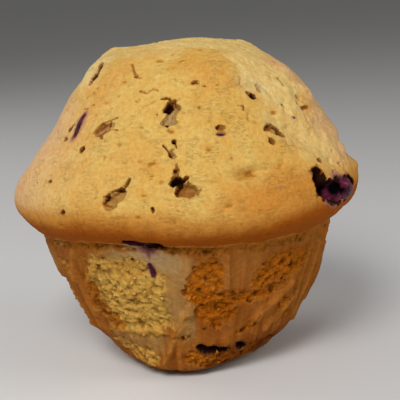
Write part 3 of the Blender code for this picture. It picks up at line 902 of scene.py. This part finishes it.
def throughTree(name, mesh, tree, values, material, share=1.0):
    # the mesh after the tree, as a plain mesh on a new object
    source = newObject(name + "Source", mesh)
    nodes = source.modifiers.new("tree", "NODES")
    nodes.node_group = tree
    chosen = {**values, "Material": material}
    for item in tree.interface.items_tree:
        if item.item_type == "SOCKET" and item.in_out == "INPUT" and item.name in chosen:
            nodes[item.identifier] = chosen[item.name]
    if share < 1:
        source.modifiers.new("thin", "DECIMATE").ratio = share
    graph = bpy.context.evaluated_depsgraph_get()
    seen = source.evaluated_get(graph)
    made = bpy.data.meshes.new_from_object(seen, preserve_all_data_layers=True, depsgraph=graph)
    source.modifiers.clear()
    bpy.data.objects.remove(source)
    made.name = name
    return newObject(name, made)


def triangles(piece):
    return sum(len(face.vertices) - 2 for face in piece.data.polygons)


bakeColours = {
    "gold": (0.63, 0.4, 0.105), "deepGold": (0.6, 0.335, 0.072), "toasted": (0.55, 0.235, 0.038),
    "brown": (0.34, 0.08, 0.003), "cream": (0.67, 0.465, 0.165), "ash": (0.61, 0.455, 0.2),
    "blush": (0.62, 0.3, 0.07), "paintedRimLight": (0.69, 0.425, 0.21), "spotEdge": (0.54, 0.26, 0.04),
    "spot": (0.34, 0.125, 0.012), "crumbYellow": (0.6, 0.345, 0.069), "crumbToasted": (0.43, 0.122, 0.0045),
    "paintedCreviceShade": (0.085, 0.02, 0.001), "caseSkin": (0.35, 0.115, 0.0165),
    "caseSkinDark": (0.275, 0.08, 0.009), "floury": (0.4, 0.225, 0.07), "whitish": (0.46, 0.32, 0.165),
    "paintedFoldHighlight": (0.44, 0.18, 0.028), "neck": (0.37, 0.132, 0.013), "flake": (0.46, 0.27, 0.085),
    "hollowFloor": (0.44, 0.235, 0.058), "greyFloor": (0.43, 0.285, 0.115),
    "tornWallAndShade": (0.25, 0.072, 0.006), "paintedHollowShade": (0.016, 0.004, 0.0015), "crease": (0.46, 0.2, 0.03),
    "juice": (0.075, 0.014, 0.022), "juiceHalo": (0.36, 0.15, 0.115), "blackJuiceAndShade": (0.012, 0.002, 0.003),
}
# a painted highlight for the tops of the crumb, and a tint of painted shade for patches of the cup
paintedCrumbHighlight, paintedShadeTint = (1.5, 1.6, 1.9, 1.0), (0.42, 0.30, 0.22, 1.0)  # multiplied into what is there


def flecksOf(pen, place, fray):
    # small brown flecks of no set place
    lumps = pen.put("ShaderNodeTexNoise", {"Vector": place, "Scale": 900.0}).outputs[1]
    fleck = pen.cells(pen.blend(0.0012, place, lumps), 0.0042)
    chance = pen.made("ShaderNodeSeparateColor", {0: fleck.outputs["Color"]})
    reach = pen.plus(pen.line(chance, 0.20, -0.08), pen.times(fray, 0.12))
    return pen.step(pen.less(reach, fleck.outputs["Distance"]), -0.05, 0.05, 0.0, 0.5)


def crustColour(pen, broad, mottle, fray, creases, flecks):
    cap = pen.blend(pen.step(broad, 0.40, 0.66), pen.colour("gold"), pen.colour("deepGold"))
    for mask, name in (("paintedRimLight", "paintedRimLight"), ("blush", "blush"), ("pale", "cream"), ("ash", "ash")):
        cap = pen.over(cap, name, pen.stored(mask))
    cap = pen.over(cap, "crease", pen.times(creases, 0.25))
    # browning, partly painted shade low on the cap and on its right side
    browning = pen.plus(pen.stored("brown"), pen.centred(mottle, 0.30))
    cap = pen.over(cap, "toasted", pen.step(browning, 0.0, 0.6))
    cap = pen.over(cap, "brown", pen.step(browning, 0.5, 1.0))
    spot = pen.plus(pen.stored("spot"), pen.times(fray, 0.8))
    cap = pen.over(cap, "spotEdge", pen.step(spot, 0.0, 0.7, 0.0, 0.5))
    cap = pen.over(cap, "spot", pen.step(spot, 0.5, 0.95, 0.0, 0.8))
    return pen.over(cap, "spot", flecks)


def crumbColour(pen, mottle):
    toast = pen.plus(pen.stored("toast"), pen.centred(mottle, 0.8))
    return pen.blend(pen.step(toast, 0.2, 0.8), pen.colour("crumbYellow"), pen.colour("crumbToasted"))


def cupColour(pen, mottle, fray):
    # the skin that lay against the case, and the crumb where it tore
    grooves = pen.plus(pen.stored("groove"), pen.centred(mottle, 1.2))
    skin = pen.blend(pen.step(grooves, 0.4, -0.5), pen.colour("caseSkin"), pen.colour("caseSkinDark"))
    for name in ("floury", "whitish"):
        skin = pen.over(skin, name, pen.stored(name))
    relief = pen.stored("relief")
    # the band under the lip is darker: partly toasted crumb, partly painted shade from the lip above
    crumb = pen.over(crumbColour(pen, mottle), "neck", pen.times(pen.stored("neckBandAndShade"), 0.8))
    # painted highlight on the tops of the crumb, and painted shade in the crevices between them
    lighter = pen.blend(1.0, crumb, paintedCrumbHighlight, "MULTIPLY")
    crumb = pen.blend(pen.step(relief, 0.2, 1.3, 0.0, 0.35), crumb, lighter)
    crumb = pen.over(crumb, "paintedCreviceShade", pen.step(relief, 0.4, -1.1, 0.0, 0.92))
    cup = pen.blend(pen.stored("tornEdge"), skin, crumb)
    flake = pen.plus(pen.stored("flake"), pen.times(fray, 0.5))
    cup = pen.over(cup, "flake", pen.step(flake, 0.3, 0.65, 0.0, 0.8))
    # painted highlight along the crests of the folds
    cup = pen.over(cup, "paintedFoldHighlight", pen.times(pen.maths("POWER", pen.stored("fold"), 1.6), 0.5))
    # painted shade in patches of the cup, most at the lower right of the foot
    patchShade = pen.times(pen.stored("paintedShadePatches"), pen.step(mottle, 0.3, 0.6, 0.4, 1.0))
    return pen.blend(patchShade, cup, paintedShadeTint, "MULTIPLY")


def speckled(pen, base, grain, mottle):
    # fine darker and lighter grain, and darker pores
    speck = pen.times(pen.step(grain, 0.28, 0.74, 0.85, 1.14), pen.step(mottle, 0.3, 0.7, 0.94, 1.05))
    powers = {channel: pen.maths("POWER", speck, power) for channel, power in enumerate((0.4, 1.1, 2.0))}
    base = pen.blend(1.0, base, pen.made("ShaderNodeCombineColor", powers), "MULTIPLY")
    return pen.over(base, "spot", pen.times(pen.stored("pore"), 0.6))


def hollowed(pen, base, grain, inside, shade, deep):
    # a torn brown edge, partly painted shade, a pale crumb floor, and painted shade, brown and then near
    # black where it goes deep
    base = pen.over(base, "tornWallAndShade", pen.step(inside, -0.10, 0.10, 0.0, 0.35))
    floor = pen.blend(pen.stored("greyFloor"), pen.colour("hollowFloor"), pen.colour("greyFloor"))
    floor = pen.over(floor, "tornWallAndShade", pen.step(grain, 0.62, 0.40, 0.0, 0.35))
    base = pen.blend(pen.step(inside, 0.08, 0.34, 0.0, 0.95), base, floor)
    # painted shade in the hollows, cracks and pits, in the torn wall colour
    base = pen.over(base, "tornWallAndShade", pen.step(shade, 0.15, 0.62, 0.0, 0.85))
    return pen.over(base, "paintedHollowShade", deep)


def juicy(pen, base, mottle, deep):
    # berry juice in the crumb, with a paler halo, kept out of the painted shade; then black juice and
    # painted shade
    stain = pen.plus(pen.stored("stain"), pen.centred(mottle, 0.30))
    stain = pen.times(stain, pen.line(deep, -0.8, 1.0))
    base = pen.over(base, "juiceHalo", pen.step(stain, 0.08, 0.55, 0.0, 0.75))
    base = pen.over(base, "juice", pen.step(stain, 0.45, 0.85))
    return pen.over(base, "blackJuiceAndShade", pen.stored("blackJuiceAndShade"))


def bakedMaterial():
    material, pen, shader = newMaterial("bakedCrustAndCrumb", bakeColours)
    place = pen.put("ShaderNodeTexCoord").outputs["Object"]
    broad = pen.noise(place, 0.011, 3.0, 0.55)
    mottle = pen.noise(place, 0.0034, 4.0, 0.6)
    grain = pen.noise(place, 0.0009, 4.0, 0.65)
    flat = pen.made("ShaderNodeMapping", {"Vector": place, "Scale": (0.6, 0.6, 2.6)})
    streaks = pen.noise(flat, 0.0016, 4.0, 0.68, 0.4)
    creases = pen.step(pen.maths("ABSOLUTE", pen.less(streaks, 0.5)), 0.0, 0.045, 1.0, 0.0)
    creases = pen.times(creases, pen.step(mottle, 0.42, 0.62), pen.less(1.0, pen.stored("rough")))
    fray = pen.centred(pen.noise(place, 0.0007, 3.0, 0.6), 1.0)
    flecks = flecksOf(pen, place, fray)
    inside = pen.plus(pen.stored("inside"), pen.times(fray, 0.8))
    # painted shade in the hollows, cracks and pits, near black where it is deepest
    shade = pen.plus(pen.stored("shade"), pen.times(fray, 0.5))
    deep = pen.step(shade, 0.55, 0.90, 0.0, 0.97)
    crust = pen.stored("crust")

    cap = crustColour(pen, broad, mottle, fray, creases, flecks)
    base = speckled(pen, pen.blend(crust, cupColour(pen, mottle, fray), cap), grain, mottle)
    base = juicy(pen, hollowed(pen, base, grain, inside, shade, deep), mottle, deep)

    wrinkled = pen.line(crust, 0.22, pen.times(pen.stored("lowCap"), 0.7))
    height = pen.plus(pen.times(grain, 0.8), pen.times(streaks, wrinkled),
                      pen.times(mottle, pen.line(crust, -0.6, 1.0)))
    height = pen.less(height, pen.times(creases, 0.2), pen.times(flecks, 0.5),
                      pen.step(inside, -0.15, 0.15, 0.0, 0.8))
    pen.feed(shader, {"Base Color": base, "Roughness": pen.step(grain, 0.2, 0.8, 0.62, 0.86),
                      "Specular IOR Level": 0.04, "Normal": pen.relieved(height, 0.8, 0.00045)})
    return material


mostBodyTriangles = 195000


def buildBody():
    skin, turns, way, masks = bakedSkin()
    mesh = ringMesh("muffinBody", skin, turns, way, masks)
    share = mostBodyTriangles / (2 * len(mesh.polygons))
    body = throughTree("muffinBody", mesh, reliefTree(), crumbRelief, bakedMaterial(), share)
    print("  body triangles", triangles(body))
    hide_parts("muffin_body")
    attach(body, "root")
    return body


print("muffin: cup, crust and crumb")
muffinBody = buildBody()


# the berries: place (turn, height, slant), size (length, width, thickness) and how far in, in millimetres,
# the size and depth of their lumps, how much painted shade lies on them, and where they fell in: direction
# along, across and out, reach, depth, with more painted shade in these dents
berrySizes = {
    "rimBerry": {
        "node": "berry_rim", "place": (61.5, 43.3, -5), "size": (12.8, 7.6, 7.2), "sunk": 2.3,
        "lump": 3.0, "lumpDepth": 0.14, "seed": 31, "paintedShade": 0.0,
        "dents": [((-0.85, 0.15, 0.50), 0.70, 0.60), ((-0.25, -0.30, 0.90), 0.46, 0.46),
                  ((0.50, 0.30, 0.80), 0.26, 0.16)],
    },
    "lipBerry": {
        "node": "berry_lip", "place": (-17.0, 34.8, 0), "size": (9.6, 2.6, 4.4), "sunk": 1.7,
        "lump": 2.2, "lumpDepth": 0.12, "seed": 32, "paintedShade": 0.66, "dents": [],
    },
    "crownBerry": {
        "node": "berry_crown", "place": (-47.0, 62.6, 79), "size": (8.2, 1.9, 3.2), "sunk": 1.2,
        "lump": 2.0, "lumpDepth": 0.10, "seed": 33, "paintedShade": 0.42, "dents": [],
    },
}

berryColours = {
    "skin": (0.030, 0.004, 0.012), "flesh": (0.13, 0.013, 0.040), "bright": (0.32, 0.080, 0.13),
    "paintedShade": (0.002, 0.001, 0.001),
}


def berryMaterial():
    material, pen, shader = newMaterial("cookedBerry", berryColours)
    place = pen.put("ShaderNodeTexCoord").outputs["Object"]
    broad = pen.noise(place, 0.0042, 3.0, 0.6, 0.6)
    fine = pen.noise(place, 0.0012, 4.0, 0.65)
    # painted shade, near black, with less sheen there
    deep = pen.stored("deep")
    colour = pen.blend(pen.step(broad, 0.36, 0.62), pen.colour("skin"), pen.colour("flesh"))
    colour = pen.over(colour, "bright", pen.times(pen.step(fine, 0.45, 0.75), pen.stored("bare")))
    shader.inputs["Specular IOR Level"].default_value = 0.08  # for a viewer that doesn't read the link
    pen.feed(shader, {
        "Base Color": pen.over(colour, "paintedShade", deep),
        "Roughness": pen.line(deep, 0.4, pen.step(fine, 0.25, 0.75, 0.25, 0.5)),
        "Specular IOR Level": pen.line(deep, -0.09, 0.10),
        "Normal": pen.relieved(fine, 0.5, 0.0003),
    })
    return material


def buildBerry(name, berry, material):
    mesh = bpy.data.meshes.new(name)
    ball = bmesh.new()
    bmesh.ops.create_icosphere(ball, subdivisions=6, radius=1.0)
    ball.to_mesh(mesh)
    ball.free()
    points = np.empty(len(mesh.vertices) * 3, np.float32)
    mesh.vertices.foreach_get("co", points)
    unit = points.reshape(-1, 3).astype(float)
    size = np.array(berry["size"]) / 2
    lumps = cloud(unit * size, berry["lump"], berry["seed"], 3)
    wrinkles = np.abs(cloud(unit * size * (1, 1, 0.6), berry["lump"] * 0.6, berry["seed"] + 10, 2))
    reach = 1 + berry["lumpDepth"] * lumps - 0.06 * wrinkles
    # painted shade on the berry, more of it in the dents where it fell in
    deep = np.full(len(unit), berry["paintedShade"])
    for direction, spread, depth in berry["dents"]:
        close = np.exp(-(((unit - np.array(direction)) ** 2).sum(1) / spread**2))
        reach -= depth * close
        deep = np.maximum(deep, close * depth / 0.42)
    turn, height, slant = berry["place"]
    place, axes = form.slanted(turn, height, slant)
    out = axes[2]
    placed = place + (unit * reach[:, None] * size) @ axes - out * berry["sunk"]
    placed += out * swelling(place[None])[0]
    placed[:, 2] += lipRise(place[None], np.array([turn]))[0]
    mesh.vertices.foreach_set("co", (placed * mm).astype(np.float32).ravel())
    bare = softStep(-0.2, 0.5, lumps + 0.9 * unit[:, 0] + 0.3 * unit[:, 1])
    setValues(mesh, {"bare": bare, "deep": softStep(0.30, 0.85, deep)})
    mesh.shade_smooth()
    mesh.update()
    mesh.materials.append(material)
    piece = newObject(name, mesh)
    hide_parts(berry["node"])
    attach(piece, "root")
    return piece


print("muffin: berries")
cookedBerry = berryMaterial()
for name, berry in berrySizes.items():
    buildBerry(name, berry, cookedBerry)


looseCrumb = {  # sizes in metres, crumbs for each square metre
    "Crumb Width": 0.0009, "Density": 60000.0, "Least Scale": 0.45, "Seed": 3.0,
}


def crumbScatterTree():
    # loose crumbs on the torn places
    pen, given = startTree("looseCrumbs", looseCrumb)
    at = pen.made("GeometryNodeInputPosition")
    height = pen.put("ShaderNodeSeparateXYZ", {0: at}).outputs[2]
    torn = pen.times(pen.step(pen.stored("tornEdge"), 0.5, 0.95), pen.step(height, 0.0022, 0.0032))
    spread = {"Mesh": given["Geometry"], "Density": pen.times(given["Density"], torn), "Seed": given["Seed"]}
    scatter = pen.made("GeometryNodeDistributePointsOnFaces", spread, distribute_method="RANDOM")
    ball = {"Radius": pen.times(given["Crumb Width"], 0.5), "Subdivisions": 2}
    grain = pen.made("GeometryNodeMeshIcoSphere", ball)
    push = pen.push(at, 1400.0, 1.0, 0.0009)
    grain = pen.made("GeometryNodeSetPosition", {"Geometry": grain, "Offset": push})
    around = {0: (0, 0, 0), 1: (6.28, 6.28, 6.28), "Seed": 5}
    turned = pen.made("FunctionNodeRandomValue", around, data_type="FLOAT_VECTOR")
    scales = {2: given["Least Scale"], 3: 1.0, "Seed": 9}
    size = pen.put("FunctionNodeRandomValue", scales, data_type="FLOAT").outputs[1]
    copies = {"Points": scatter, "Instance": grain, "Rotation": turned, "Scale": size}
    grains = pen.made("GeometryNodeInstanceOnPoints", copies)
    smooth = pen.made("GeometryNodeSetShadeSmooth", {0: grains})
    return endTree(pen, smooth, given["Material"])


def crumbMaterial():
    material, pen, shader = newMaterial("looseCrumb", bakeColours)
    place = pen.put("ShaderNodeTexCoord").outputs["Object"]
    fine = pen.noise(place, 0.0005, 2.0)
    pen.feed(shader, {
        "Base Color": crumbColour(pen, pen.noise(place, 0.003, 2.0)),
        "Roughness": pen.step(fine, 0.2, 0.8, 0.7, 0.9),
        "Specular IOR Level": 0.04,
        "Normal": pen.relieved(fine, 0.5, 0.0002),
    })
    return material


print("muffin: loose crumbs")
crumbs = throughTree("looseCrumbs", muffinBody.data.copy(), crumbScatterTree(), looseCrumb, crumbMaterial())
print("  loose crumb triangles", triangles(crumbs))
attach(crumbs, "root")

print("muffin: done")
